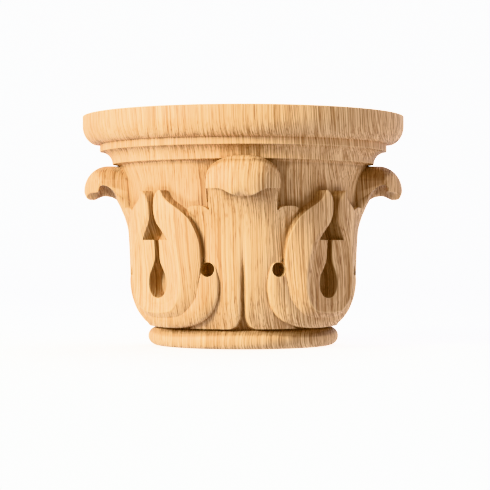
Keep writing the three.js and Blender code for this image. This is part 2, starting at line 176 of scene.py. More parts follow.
# Stem and neck of a main leaf, from the foot up to the curl.
# Each station: height, radius, half-width, groove half-width, groove depth, fall towards the side.
STEM = [
    (10.3, 49.3, 33.0, 5.6, 5.0, 0.0),
    (11.2, 49.9, 31.0, 3.1, 5.0, 0.1),
    (12.4, 50.7, 28.5, 1.8, 4.8, 0.2),
    (15.6, 52.8, 22.5, 0.35, 4.2, 0.4),
    (19.0, 54.8, 18.5, 0.1, 3.4, 0.6),
    (25.0, 57.3, 15.2, 0.1, 2.9, 0.8),
    (33.0, 58.9, 14.0, 0.1, 2.3, 0.9),
    (40.0, 59.3, 16.0, 0.1, 1.6, 1.0),
    (46.0, 59.5, 20.0, 0.1, 1.0, 1.2),
    (52.0, 59.8, 20.9, 0.1, 0.5, 1.2),
    (60.0, 60.4, 22.9, 0.1, 0.1, 1.0),
    (66.0, 62.0, 25.4, 0.1, 0.0, 0.8),
    (69.4, 63.4, 26.0, 0.1, 0.0, 0.6),
    (72.4, 64.7, 26.0, 0.1, 0.0, 0.4),
    (75.0, 66.1, 26.0, 0.1, 0.0, 0.2),
    (77.0, 66.9, 26.0, 0.1, 0.0, 0.0),
    (78.7, 67.8, 26.0, 0.1, 0.0, 0.0),
    (80.0, 68.7, 26.0, 0.1, 0.0, 0.0),
    (81.0, 69.7, 26.0, 0.1, 0.0, 0.0),
]
STEM_STEPS = 5
STEM_COLUMNS = 18
GROOVE_LIP = 2.4
GROOVE_SIDE = [0.0, 0.12, 0.26, 0.42, 0.6, 0.8]
GROOVE_MIDDLE = 0.001
FALL_FROM = 0.375

# Notch cut beside the neck, which leaves a rounded shoulder on the stem
NECK_FOOT_HALF_WIDTH = 16.7
NECK_TOP_HALF_WIDTH = 18.6
SHOULDER_MIDDLE = 20.9
SHOULDER_HALF_WIDTH = 5.1
SHOULDER_CROWN = 1.1
SHOULDER_BASE = 69.4
SHOULDER_RISE = 2.1
SHOULDER_STEPS = 14
NOTCH_OUTER_ANGLE = 31.0
NOTCH_TOP = 90.0
# Depth of the notch from the axis and how far it is eased back there
NOTCH_EASING = [(50.0, 0.0), (62.6, 0.0), (63.4, 0.2), (64.6, 0.6), (80.0, 0.7)]

# Curled tip of a main leaf. Widths run across the leaf, depths out from the column axis.
CURL_HALF_WIDTH = 17.9
FRONT_CURL_TOP = 95.6
SIDE_CURL_TOP = 93.5
CURL_EDGE_TOP = 84.5
CURL_ROUNDNESS = 2.05
CURL_BACK = 50.0
CURL_FOOT = 72.0
CURL_FOOT_RADIUS = 56.0
CURL_CREST = 71.0
CURL_REACH = 83.5
NOSE_RADIUS = 20.5
NOSE_ROUND_PART = 13.0
NOSE_SIDE_SLOPE = 0.72
NOSE_SHARE = 0.26
TONGUE_HEIGHT = 75.6
TONGUE_EDGE_HEIGHT = 79.3
TONGUE_HALF_WIDTH = 3.0
TONGUE_TURN = 9.5
TONGUE_ROUNDING = 4.7
TONGUE_EDGE_ROUNDING = 0.4
TONGUE_ROUND_PART = 8.0
TONGUE_POWER = 1.15
CURL_SLICES = 60
CURL_TOP_STEPS = 18
TONGUE_STEPS = 10
# Underside of the curl from the tongue in to the neck: depth and height at the middle, then at the edge
UNDERSIDE = [
    (77.7, 75.7, 74.5, 79.8),
    (76.7, 76.2, 74.4, 80.8),
    (75.6, 76.7, 74.1, 81.7),
    (74.6, 77.2, 73.6, 82.4),
    (73.5, 77.5, 72.9, 82.8),
    (72.5, 77.6, 72.0, 82.9),
    (71.4, 77.5, 70.8, 82.7),
    (70.4, 77.3, 69.5, 82.1),
    (69.3, 77.1, 68.6, 81.5),
    (68.3, 76.7, 67.8, 80.9),
    (66.0, 75.4, 66.0, 79.6),
]
UNDERSIDE_STEPS = 2
ARCH_HALF_WIDTH = 2.0
ARCH_TURN = 9.5

# Eyelets drilled towards the axis between a stem and a lobe
EYELET_ANGLE = 17.2
EYELET_HEIGHT = 40.0
EYELET_RADIUS = 3.6
EYELET_FLOOR = 49.0
EYELET_MOUTH = 70.0
EYELET_SIDES = 48

# Edges that turn more than this stay sharp in the shading
CREASE_ANGLE = 32.0

# A right angle in degrees and in radians
RIGHT_ANGLE = 90.0
QUARTER_TURN = math.pi / 2

# Marks for painted shade in the hollows and a painted highlight on outward edges, in metres and radians
HOLLOW_RAYS = 32
HOLLOW_REACH = 0.04
HOLLOW_START = 0.0002
# Painted shade in the hollows of the turned mouldings is weaker than on the carving
TURNED_SHADE_SHARE = 0.4
EDGE_TURN = 0.35
SAWN_GAP = 0.00002

# Oak: place of the pith in millimetres, lean and scale of the growth rings
PITH = (220.0, 0.0, 0.0)
RING_TURN = (0.02, 0.05, 0.1)
RING_SCALE = 0.28
RING_DISTORTION = 1.2
RING_DETAIL = 1.0
RING_DETAIL_SCALE = 0.15
RING_SHARE = 0.5

# Fineness of the grain per metre across the front, into the depth and along the height
BROAD_WAVER = (13, 13, 9)
FINE_WAVER = (45, 45, 40)
FRONT_FIBRES = (2000, 90, 10)
SIDE_FIBRES = (90, 1500, 10)
PORES = (1700, 600, 110)
SLOW_CHANGE = (60, 20, 4)
# How far the grain wavers, in metres
BROAD_WAVER_SHIFT = 0.014
FINE_WAVER_SHIFT = 0.0022
NOISE_MIDDLE = (0.5, 0.5, 0.5)
# Share of a face's turn to the side at which the side fibres begin to show and then show alone
SIDE_FIBRES_FROM = 0.7
SIDE_FIBRES_ALONE = 0.96

# Colours of the oak and how they follow the grain, with painted shade in the hollows and a painted highlight
# on edges: position, colour
PLAIN_WHITE = (1.0, 1.0, 1.0)
STRAW_OAK = (0.88, 0.59, 0.315)
TAN_OAK = (0.75, 0.455, 0.225)
DARK_OAK = (0.40, 0.20, 0.085)
# Painted highlight on edges where the wood turns sharply outwards
HIGHLIGHT_OAK = (0.86, 0.60, 0.31, 1)
STREAK_DARK = (0.54, 0.43, 0.33)
PORE_DARK = (0.50, 0.36, 0.26)
# Painted shade that darkens the hollows, eased off again in the deepest slots
RECESS_SHADE = (0.60, 0.55, 0.50)
POCKET_SHADE = (0.60, 0.56, 0.53)
SLOT_SHADE = (0.88, 0.86, 0.86)
RING_TONES = [(0.0, DARK_OAK), (0.3, TAN_OAK), (0.6, STRAW_OAK), (1.0, STRAW_OAK)]
SLOW_TONES = [(0.3, TAN_OAK), (0.65, STRAW_OAK)]
STREAK_TONES = [(0.36, STREAK_DARK), (0.6, PLAIN_WHITE)]
PORE_TONES = [(0.3, PORE_DARK), (0.46, PLAIN_WHITE)]
HOLLOW_SHADE_TINTS = [(0.12, PLAIN_WHITE), (0.32, RECESS_SHADE), (0.56, POCKET_SHADE), (0.8, SLOT_SHADE)]
PORE_SHARE = 0.6
# Where the painted edge highlight starts and how strongly it shows
HIGHLIGHT_FROM = 0.2
HIGHLIGHT_SHARE = 0.35

# Sheen and relief of the grain
DARK_FIBRE = 0.25
PALE_FIBRE = 0.75
DARK_FIBRE_ROUGHNESS = 0.68
PALE_FIBRE_ROUGHNESS = 0.5
OAK_GLOSS = 0.3
RELIEF_PORE_SHARE = 0.6
RELIEF_STRENGTH = 0.25
RELIEF_DEPTH = 0.00012

# Floor that bends up into a backdrop, in metres
FLOOR_FRONT = -12.0
FLOOR_BEND = 1.0
FLOOR_BEND_RADIUS = 0.6
FLOOR_BEND_STEPS = 24
BACKDROP_HEIGHT = 3.0
FLOOR_HALF_WIDTH = 12.0
FLOOR_COLOUR = (0.9, 0.9, 0.9, 1)
FLOOR_ROUGHNESS = 0.9
FLOOR_GLOW_COLOUR = (1, 1, 1, 1)
FLOOR_GLOW = 2.4

# Room light, stronger from below than from above and from behind than from in front
ROOM_COLOUR = (0.94, 0.93, 1.0, 1)
ROOM_RISE = 0.6
LIGHT_FROM_BELOW = 1.12
LIGHT_FROM_ABOVE = 0.96
LIGHT_FROM_FRONT = 0.65
LIGHT_FROM_BEHIND = 1.45

# Square window light: degrees from the front and above level, metres, watts
WINDOW_AZIMUTH = -55.0
WINDOW_ELEVATION = 20.0
WINDOW_DISTANCE = 1.2
WINDOW_SIZE = 0.5
WINDOW_WATTS = 33.0
WINDOW_COLOUR = (0.98, 1.02, 0.93)

# Camera, level and facing the capital: metres, then millimetres
CAMERA_PLACE = (0.0009, -0.787, 0.0521)
CAMERA_LENS = 115.8
CAMERA_SENSOR = 36.0


def polar(angle, height, radius):
    """A point given by angle from the front, height and distance from the column axis."""
    turn = math.radians(angle)
    return Vector((radius * math.sin(turn), -radius * math.cos(turn), height))


def mix(start, end, share):
    return start + (end - start) * share


def smooth(value):
    value = min(max(value, 0.0), 1.0)
    return value * value * (3 - 2 * value)


def read_table(table, height, column):
    """Value in a column of a table whose rows start with a rising height."""
    row = 0
    while row < len(table) - 2 and table[row + 1][0] < height:
        row += 1
    share = (height - table[row][0]) / (table[row + 1][0] - table[row][0])
    return mix(table[row][column], table[row + 1][column], min(max(share, 0.0), 1.0))


def through_stations(stations, steps):
    """Rows on smooth curves through the stations."""
    last = len(stations) - 1
    rows = []
    for i in range(last):
        before = stations[max(i - 1, 0)]
        after = stations[min(i + 2, last)]
        for step in range(steps):
            t = step / steps
            row = []
            for k, start in enumerate(stations[i]):
                end = stations[i + 1][k]
                slope_start = (end - before[k]) / 2
                slope_end = (after[k] - start) / 2
                bend = mix(slope_start - (end - start), (end - start) - slope_end, t)
                row.append(mix(start, end, t) + t * (1 - t) * bend)
            rows.append(row)
    rows.append(list(stations[last]))
    return rows


def rounded(corners):
    """A chain of points with each corner rounded by its own amount; corners are point, amount."""
    chain = []
    for k, (point, amount) in enumerate(corners):
        if amount == 0:
            chain.append(point)
            continue
        before = corners[k - 1][0] - point
        after = corners[k + 1][0] - point
        start = point + before * min(ROUNDING_LIMIT, amount / before.length)
        end = point + after * min(ROUNDING_LIMIT, amount / after.length)
        for step in range(ROUNDING_STEPS + 1):
            t = step / ROUNDING_STEPS
            chain.append(start * (1 - t) ** 2 + point * (2 * t * (1 - t)) + end * t ** 2)
    return chain


# Making and joining bodies
def body_from(name, points, faces):
    mesh = bpy.data.meshes.new(name)
    mesh.from_pydata(points, [], faces)
    body = bpy.data.objects.new(name, mesh)
    bpy.context.scene.collection.objects.link(body)
    return body


def face_outwards(body):
    shell = bmesh.new()
    shell.from_mesh(body.data)
    bmesh.ops.recalc_face_normals(shell, faces=shell.faces)
    shell.to_mesh(body.data)
    shell.free()
    return body


def loft(name, rings):
    """Closed body through a row of rings with its two ends filled."""
    count = len(rings[0])
    points = [point for ring in rings for point in ring]
    faces = []
    for i in range(len(rings) - 1):
        for k in range(count):
            a = i * count + k
            b = i * count + (k + 1) % count
            faces.append((a, b, b + count, a + count))
    faces.append(tuple(range(count)))
    faces.append(tuple(range(len(points) - count, len(points))))
    return face_outwards(body_from(name, points, faces))


def settle(body):
    """Turns what a body's modifiers make into its own plain mesh."""
    view = bpy.context.evaluated_depsgraph_get()
    made = bpy.data.meshes.new_from_object(body.evaluated_get(view))
    plain = body.data
    body.modifiers.clear()
    body.data = made
    bpy.data.meshes.remove(plain)
    return body


def combine(body, tool, operation):
    """Joins a tool body to a body or cuts it away, and removes the tool."""
    step = body.modifiers.new(operation.lower(), "BOOLEAN")
    step.operation = operation
    step.solver = "MANIFOLD"
    step.object = tool
    settle(body)
    shape = tool.data
    bpy.data.objects.remove(tool)
    bpy.data.meshes.remove(shape)
    return body


# Geometry Nodes: one tree turns a profile, one sets pieces round the axis
def new_tree(name, inputs):
    tree = bpy.data.node_groups.new(name, "GeometryNodeTree")
    tree.is_modifier = True
    tree.interface.new_socket("Geometry", in_out="INPUT", socket_type="NodeSocketGeometry")
    for label, kind in inputs:
        tree.interface.new_socket(label, in_out="INPUT", socket_type=kind)
    tree.interface.new_socket("Geometry", in_out="OUTPUT", socket_type="NodeSocketGeometry")
    return tree


def add_node(tree, kind, links=None, **settings):
    """A node with its settings made and its inputs linked or set, each by name or number."""
    node = tree.nodes.new(kind)
    for label, value in settings.items():
        setattr(node, label, value)
    for socket, value in (links or {}).items():
        if isinstance(value, bpy.types.NodeSocket):
            tree.links.new(value, node.inputs[socket])
        else:
            node.inputs[socket].default_value = value
    return node


def maths(tree, operation, first, second=0.0):
    return add_node(tree, "ShaderNodeMath", {0: first, 1: second}, operation=operation).outputs[0]


def finish_tree(tree, geometry, finish):
    realized = add_node(tree, "GeometryNodeRealizeInstances", {"Geometry": geometry})
    coated = add_node(tree, "GeometryNodeSetMaterial", {
        "Geometry": realized.outputs[0], "Material": finish})
    add_node(tree, "NodeGroupOutput", {0: coated.outputs[0]})
    return tree


def turning_tree():
    """Turns the points of a profile, with X as radius and Z as height, round the column axis."""
    tree = new_tree("Turned from a profile", [
        ("Segments", "NodeSocketInt"), ("Weld", "NodeSocketFloat"), ("Finish", "NodeSocketMaterial")])
    given = add_node(tree, "NodeGroupInput").outputs
    counted = add_node(tree, "GeometryNodeAttributeDomainSize", {"Geometry": given["Geometry"]})
    size = counted.outputs["Point Count"]
    rows = maths(tree, "ADD", given["Segments"], 1.0)
    grid = add_node(tree, "GeometryNodeMeshGrid", {"Vertices X": rows, "Vertices Y": size})
    index = add_node(tree, "GeometryNodeInputIndex").outputs[0]
    along = maths(tree, "MODULO", index, size)
    around = maths(tree, "FLOOR", maths(tree, "DIVIDE", index, size))
    turn = maths(tree, "MULTIPLY", maths(tree, "DIVIDE", around, given["Segments"]), 2 * math.pi)
    place = add_node(tree, "GeometryNodeInputPosition").outputs[0]
    sample = add_node(
        tree, "GeometryNodeSampleIndex", {"Geometry": given["Geometry"], "Index": along},
        data_type="FLOAT_VECTOR", domain="POINT")
    tree.links.new(place, sample.inputs["Value"])
    profile = add_node(tree, "ShaderNodeSeparateXYZ", {0: sample.outputs["Value"]}).outputs
    x = maths(tree, "MULTIPLY", profile["X"], maths(tree, "SINE", turn))
    y = maths(tree, "MULTIPLY", profile["X"], maths(tree, "COSINE", turn))
    turned = add_node(tree, "ShaderNodeCombineXYZ", {"X": x, "Y": y, "Z": profile["Z"]})
    moved = add_node(tree, "GeometryNodeSetPosition", {
        "Geometry": grid.outputs["Mesh"], "Position": turned.outputs[0]})
    welded = add_node(tree, "GeometryNodeMergeByDistance", {
        "Geometry": moved.outputs[0], "Distance": given["Weld"]})
    return finish_tree(tree, welded.outputs[0], given["Finish"])


def setting_round_tree():
    """Sets copies of a piece round the column axis."""
    tree = new_tree("Set round the axis", [
        ("Count", "NodeSocketInt"), ("First angle", "NodeSocketFloat"), ("Step angle", "NodeSocketFloat"),
        ("Finish", "NodeSocketMaterial")])
    given = add_node(tree, "NodeGroupInput").outputs
    points = add_node(tree, "GeometryNodePoints", {"Count": given["Count"]})
    index = add_node(tree, "GeometryNodeInputIndex").outputs[0]
    angle = maths(tree, "ADD", given["First angle"], maths(tree, "MULTIPLY", index, given["Step angle"]))
    turn = add_node(tree, "ShaderNodeCombineXYZ", {"Z": maths(tree, "RADIANS", angle)})
    copies = add_node(tree, "GeometryNodeInstanceOnPoints", {
        "Points": points.outputs[0], "Instance": given["Geometry"], "Rotation": turn.outputs[0]})
    return finish_tree(tree, copies.outputs[0], given["Finish"])


def grow(body, tree, **sizes):
    """Runs a tree on a body with its named inputs set and keeps the result as a plain mesh."""
    step = body.modifiers.new(tree.name, "NODES")
    step.node_group = tree
    for item in tree.interface.items_tree:
        label = item.name.replace(" ", "_").lower()
        if item.in_out == "INPUT" and label in sizes:
            step[item.identifier] = sizes[label]
    return face_outwards(settle(body))


# Turned body
def quarter_arc(steps, place):
    return [place(QUARTER_TURN * i / steps) for i in range(steps + 1)]


def turned_profile():
    """Radius and height from the middle of the underside round to the middle of the top."""
    def at(radius, height):
        return Vector((radius, 0, height))

    ring = quarter_arc(RING_STEPS, lambda a: at(
        RING_CENTRE_RADIUS + RING_TUBE_RADIUS * math.sin(2 * a), RING_TUBE_RADIUS * (1 - math.cos(2 * a))))
    bell = [at(radius, height) for height, radius in through_stations(BELL, BELL_STEPS)]
    cove = quarter_arc(COVE_STEPS, lambda a: at(
        COVE_CENTRE_RADIUS - COVE_RADIUS * math.cos(a), COVE_CENTRE_HEIGHT + COVE_RADIUS * math.sin(a)))
    ovolo = quarter_arc(OVOLO_STEPS, lambda a: at(
        mix(OVOLO_INNER_RADIUS, ABACUS_RADIUS, math.sin(a)), mix(OVOLO_TOP, FILLET_TOP, math.cos(a))))
    plain = [(at(0, 0), 0)] + [(point, 0) for point in ring + bell]
    plain += [(cove[0], ARRIS)] + [(point, 0) for point in cove[1:-1]] + [(cove[-1], ARRIS)]
    plain += [(at(COVE_CENTRE_RADIUS, FILLET_TOP), 0)] + [(point, 0) for point in ovolo]
    plain += [(at(ABACUS_RADIUS, TOTAL_HEIGHT), ARRIS), (at(0, TOTAL_HEIGHT), 0)]
    return rounded(plain)


def turned_body(tree, oak):
    profile = turned_profile()
    body = body_from("turned_body", profile, [])
    return grow(body, tree, segments=TURNED_SEGMENTS, weld=WELD, finish=oak)


# Lobe between two main leaves
def sunk_radius(height):
    return read_table(BELL, height, 1) - BURIED


def sunk(angle, height):
    return polar(angle, height, sunk_radius(height))


def across(start, end, shares, swell):
    """Points on a gently swelling face between two edges given as angle, height, radius."""
    points = []
    for t in shares:
        angle, height, radius = (mix(a, b, t) for a, b in zip(start, end))
        points.append((polar(angle, height, radius + swell * 4 * t * (1 - t)), 0))
    return points


def strip(name, stations, angle_columns, crossing):
    """One strip of a lobe, mirrored across the lobe's middle.

    Crossing gives the ring at a row and on a side, -1 for the first half and 1 for the mirrored one.
    """
    half = through_stations(stations, LOBE_STEPS)
    rings = [crossing(row, -1) for row in half]
    for row in reversed(half[:-1]):
        mirrored = [LEAF_STEP - value if k in angle_columns else value for k, value in enumerate(row)]
        rings.append(crossing(mirrored, 1))
    return loft(name, rings)


def finger_ring(row, side):
    outer, ridge, foot = row[0:3], row[3:6], row[6:9]
    wall = sunk(outer[0] + side * row[9], outer[1])
    corners = [(wall, 0), (polar(*outer), EDGE_ROUNDING)]
    corners += across(outer, ridge, FINGER_FACE, FINGER_SWELL)
    valley = VALLEY_SHARE * smooth((foot[1] - VALLEY_FROM) / VALLEY_TURN)
    inside = sunk(mix(foot[0], LEAF_STEP / 2, valley), foot[1])
    corners += [(polar(*ridge), RIDGE_ROUNDING), (polar(*foot), FOOT_ROUNDING), (inside, 0)]
    return rounded(corners)


def band_ring(row, side):
    outer, inner = row[0:3], row[3:6]
    corners = [(sunk(outer[0], outer[1]), 0), (polar(*outer), BAND_EDGE_ROUNDING)]
    corners += across(outer, inner, BAND_FACE, BAND_SWELL)
    corners += [(sunk(inner[0], inner[1]), 0)]
    return rounded(corners)


def lip_ring(row, side):
    foot, edge = row[0:3], row[3:6]
    corners = [(sunk(foot[0], foot[1]), 0)] + across(foot, edge, LIP_FACE, LIP_SWELL)
    corners += [(polar(*edge), EDGE_ROUNDING), (sunk(edge[0], edge[1]), 0)]
    return rounded(corners)


def pocket():
    """Body cut out of the bell behind the fingers of a lobe."""
    middle = LEAF_STEP / 2
    rings = []
    for height, half_width, floor in through_stations(POCKET, POCKET_STEPS):
        ring = [polar(middle - half_width, height, POCKET_MOUTH)]
        for i in range(POCKET_COLUMNS + 1):
            t = 2 * i / POCKET_COLUMNS - 1
            ring.append(polar(middle + t * half_width, height, floor + POCKET_HOLLOW * t * t))
        ring.append(polar(middle + half_width, height, POCKET_MOUTH))
        rings.append(ring)
    return loft("pocket", rings)


def lobe():
    body = strip("finger_and_bowl", FINGER, FINGER_ANGLES, finger_ring)
    combine(body, strip("outer_band", BAND, EDGE_ANGLES, band_ring), "UNION")
    combine(body, strip("inner_lip", INNER_LIP, EDGE_ANGLES, lip_ring), "UNION")
    return body


# Main leaf: stem, neck and curl
def stem_ring(row):
    height, radius, half_width, groove_half, groove_depth, fall = row
    right = [(polar(GROOVE_MIDDLE, height, radius - groove_depth), 0)]
    for t in GROOVE_SIDE:
        drop = groove_depth * (1 - t) ** 2
        right.append((polar(groove_half + t * GROOVE_LIP, height, radius - drop), 0))
    for i in range(STEM_COLUMNS):
        t = i / STEM_COLUMNS
        angle = mix(groove_half + GROOVE_LIP, half_width, t)
        drop = fall * smooth((t - FALL_FROM) / (1 - FALL_FROM))
        right.append((polar(angle, height, radius - drop), 0))
    right.append((polar(half_width, height, radius - fall), EDGE_ROUNDING))
    right.append((sunk(half_width, height), 0))
    chain = rounded(right)
    left = [Vector((-point.x, point.y, point.z)) for point in reversed(chain)]
    return left + chain


def notch(side):
    """Body cut away beside the neck and above the shoulder."""
    rings = []
    for radius, ease in NOTCH_EASING:
        turn = math.degrees(ease / radius)
        neck_top = math.degrees(math.asin((NECK_TOP_HALF_WIDTH - ease) / radius))
        neck_foot = math.degrees(math.asin((NECK_FOOT_HALF_WIDTH - ease) / radius))
        outline = [(neck_top, NOTCH_TOP), (neck_foot, SHOULDER_BASE - ease)]
        for i in range(2 * SHOULDER_STEPS + 2):
            a = QUARTER_TURN * (i if i <= SHOULDER_STEPS else i - 1) / SHOULDER_STEPS
            half_width = mix(SHOULDER_CROWN, SHOULDER_HALF_WIDTH - turn, abs(math.cos(a)))
            angle = SHOULDER_MIDDLE + half_width * (-1 if i <= SHOULDER_STEPS else 1)
            outline.append((angle, SHOULDER_BASE - ease + SHOULDER_RISE * math.sin(a)))
        outline += [(NOTCH_OUTER_ANGLE, SHOULDER_BASE - ease), (NOTCH_OUTER_ANGLE, NOTCH_TOP)]
        rings.append([polar(side * angle, height, radius) for angle, height in outline])
    return loft("notch", rings)


def nose_reach(distance):
    """Depth of the nose, round in plan near the middle and straight on to the leaf's edge."""
    round_part = min(distance, NOSE_ROUND_PART)
    fall = NOSE_RADIUS - math.sqrt(NOSE_RADIUS ** 2 - round_part ** 2)
    return CURL_REACH - fall - NOSE_SIDE_SLOPE * (distance - round_part)


def curl_ring(offset, crest):
    """Outline of the curl at a distance across the leaf; crest is the height of its top."""
    distance = abs(offset)
    w = min(distance / CURL_HALF_WIDTH, 1)
    top = mix(CURL_EDGE_TOP, crest, (1 - w ** CURL_ROUNDNESS) ** (1 / CURL_ROUNDNESS))
    reach = nose_reach(distance)
    lift = smooth((distance - TONGUE_HALF_WIDTH) / TONGUE_TURN)
    arch = smooth((distance - ARCH_HALF_WIDTH) / ARCH_TURN)
    tongue = mix(TONGUE_HEIGHT, TONGUE_EDGE_HEIGHT, lift)
    nose = mix(tongue, top, NOSE_SHARE)
    tip = reach - mix(TONGUE_ROUNDING, TONGUE_EDGE_ROUNDING, smooth(distance / TONGUE_ROUND_PART))
    outline = [(CURL_BACK, CURL_FOOT), (CURL_BACK, top)]
    for i in range(CURL_TOP_STEPS + 1):
        a = QUARTER_TURN * i / CURL_TOP_STEPS
        outline.append((mix(CURL_CREST, reach, math.sin(a)), mix(nose, top, math.cos(a))))
    for i in range(1, TONGUE_STEPS + 1):
        a = QUARTER_TURN * i / TONGUE_STEPS
        outward = max(math.cos(a), 0.0) ** TONGUE_POWER
        downward = math.sin(a) ** TONGUE_POWER
        outline.append((mix(tip, reach, outward), mix(nose, tongue, downward)))
    for depth, height, edge_depth, edge_height in through_stations(UNDERSIDE, UNDERSIDE_STEPS):
        outline.append((mix(depth, edge_depth, arch), mix(height, edge_height, arch)))
    outline.append((CURL_FOOT_RADIUS, CURL_FOOT))
    return [Vector((offset, -depth, height)) for depth, height in outline]


def curl(crest):
    offsets = [-CURL_HALF_WIDTH * math.cos(math.pi * i / CURL_SLICES) for i in range(CURL_SLICES + 1)]
    return loft("curl", [curl_ring(offset, crest) for offset in offsets])


def main_leaf(crest):
    body = loft("main_leaf", [stem_ring(row) for row in through_stations(STEM, STEM_STEPS)])
    for side in (-1, 1):
        combine(body, notch(side), "DIFFERENCE")
    return combine(body, curl(crest), "UNION")


# Eyelets and the flat back
def eyelet(side):
    angle = side * EYELET_ANGLE
    rings = []
    for radius in (EYELET_FLOOR, EYELET_MOUTH):
        centre = polar(angle, EYELET_HEIGHT, radius)
        sideways = polar(angle + RIGHT_ANGLE, 0, 1)
        ring = []
        for i in range(EYELET_SIDES):
            a = 2 * math.pi * i / EYELET_SIDES
            ring.append(centre + (sideways * math.cos(a) + Vector((0, 0, 1)) * math.sin(a)) * EYELET_RADIUS)
        rings.append(ring)
    return loft("eyelet", rings)


def eyelet_pair():
    return combine(eyelet(-1), eyelet(1), "UNION")


def wall_block():
    size = 2 * ABACUS_RADIUS
    rings = []
    for depth in (0, size):
        ring = [Vector((x * size, depth, z * size)) for x, z in ((-1, -1), (1, -1), (1, 1), (-1, 1))]
        rings.append(ring)
    return loft("wall_block", rings)


def carved_capital(oak):
    turning = turning_tree()
    setting_round = setting_round_tree()
    body = turned_body(turning, oak)
    front_leaf = main_leaf(FRONT_CURL_TOP)
    side_leaves = grow(
        main_leaf(SIDE_CURL_TOP), setting_round,
        count=SIDE_LEAF_COUNT, first_angle=-LEAF_STEP, step_angle=2 * LEAF_STEP, finish=oak)
    pockets = grow(
        pocket(), setting_round,
        count=LOBE_COUNT, first_angle=-LEAF_STEP, step_angle=LEAF_STEP, finish=oak)
    lobes = grow(
        lobe(), setting_round,
        count=LOBE_COUNT, first_angle=-LEAF_STEP, step_angle=LEAF_STEP, finish=oak)
    eyelets = grow(
        eyelet_pair(), setting_round,
        count=MAIN_LEAF_COUNT, first_angle=-LEAF_STEP, step_angle=LEAF_STEP, finish=oak)
    combine(body, pockets, "DIFFERENCE")
    combine(body, front_leaf, "UNION")
    combine(body, side_leaves, "UNION")
    combine(body, lobes, "UNION")
    combine(body, eyelets, "DIFFERENCE")
    combine(body, wall_block(), "DIFFERENCE")
    body.name = "carved_capital"
    body.data.transform(Matrix.Scale(MILLIMETRE, 4) @ Matrix.Translation((0, BACK_Y, 0)))
    for vertex in body.data.vertices:
        for k in range(3):
            vertex.co[k] = min(max(vertex.co[k], solid_low[k]), solid_high[k])
    mark_hollow_shade(body)
    mark_edge_highlight(body)
    body.data.shade_smooth()
    body.data.set_sharp_from_angle(angle=math.radians(CREASE_ANGLE))
    body.data.materials.clear()
    body.data.materials.append(oak)
    return body


# Marks on the carving for painted shade in its hollows and a painted highlight on its edges
def open_directions(count):
    """Directions spread over the half space in front of a surface that faces +Z."""
    golden_turn = math.pi * (3 - math.sqrt(5))
    directions = []
    for i in range(count):
        share = (i + 0.5) / count
        out = math.sqrt(share)
        turn = i * golden_turn
        directions.append(Vector((out * math.cos(turn), out * math.sin(turn), math.sqrt(1 - share))))
    return directions


def is_sawn(face):
    """True on the flat back, top and underside."""
    on_back = solid_high[1] - face.center.y < SAWN_GAP
    on_end = min(face.center.z - solid_low[2], solid_high[2] - face.center.z) < SAWN_GAP
    return on_back or on_end


def store_mark(mesh, name, values):
    """Stores a value of each point on the faces that meet there, and nothing on the sawn faces."""
    corners = []
    for face in mesh.polygons:
        plain = is_sawn(face)
        corners += [0.0 if plain else values[k] for k in face.vertices]
    mesh.attributes.new(name, "FLOAT", "CORNER").data.foreach_set("value", corners)


def mark_hollow_shade(body):
    """Marks how much nearby wood closes each point in, from 0 in the open towards 1; the finish paints shade
    by it.
    """
    mesh = body.data
    places = [vertex.co.copy() for vertex in mesh.vertices]
    wood = BVHTree.FromPolygons(places, [tuple(face.vertices) for face in mesh.polygons])
    directions = open_directions(HOLLOW_RAYS)
    abacus_foot = BELL[-1][0] * MILLIMETRE
    values = []
    for vertex in mesh.vertices:
        turn = vertex.normal.to_track_quat("Z", "Y").to_matrix()
        start = vertex.co + vertex.normal * HOLLOW_START
        hits = [wood.ray_cast(start, turn @ direction, HOLLOW_REACH)[0] for direction in directions]
        share = TURNED_SHADE_SHARE if vertex.co.z > abacus_foot else 1.0
        values.append(share * sum(hit is not None for hit in hits) / HOLLOW_RAYS)
    store_mark(mesh, "hollow_shade", values)


def mark_edge_highlight(body):
    """Marks how sharply the wood turns outwards at each point, from 0 to 1; the finish paints a highlight by
    it.
    """
    shell = bmesh.new()
    shell.from_mesh(body.data)
    values = []
    for vertex in shell.verts:
        turns = [edge.calc_face_angle_signed(0.0) for edge in vertex.link_edges if edge.is_manifold]
        values.append(smooth(max(turns, default=0.0) / EDGE_TURN))
    shell.free()
    store_mark(body.data, "worn_edge", values)


# Finish
def ramp(tree, factor, stops):
    """Colour ramp through stops given as position, colour."""
    node = add_node(tree, "ShaderNodeValToRGB", {"Fac": factor})
    node.color_ramp.interpolation = "EASE"
    points = node.color_ramp.elements
    while len(points) < len(stops):
        points.new(1.0)
    for point, (position, colour) in zip(points, stops):
        point.position = position
        point.color = (*colour, 1)
    return node.outputs["Color"]


def blend(tree, kind, factor, first, second):
    node = tree.nodes.new("ShaderNodeMix")
    node.data_type = "RGBA"
    node.blend_type = kind
    sockets = [socket for socket in node.inputs if socket.enabled]
    for socket, value in zip(sockets, (factor, first, second)):
        if isinstance(value, bpy.types.NodeSocket):
            tree.links.new(value, socket)
        else:
            socket.default_value = value
    return [socket for socket in node.outputs if socket.enabled][0]


def remap(tree, value, low, high, new_low, new_high):
    """A value moved from one range into another."""
    node = add_node(tree, "ShaderNodeMapRange", {0: value, 1: low, 2: high, 3: new_low, 4: new_high})
    return node.outputs[0]


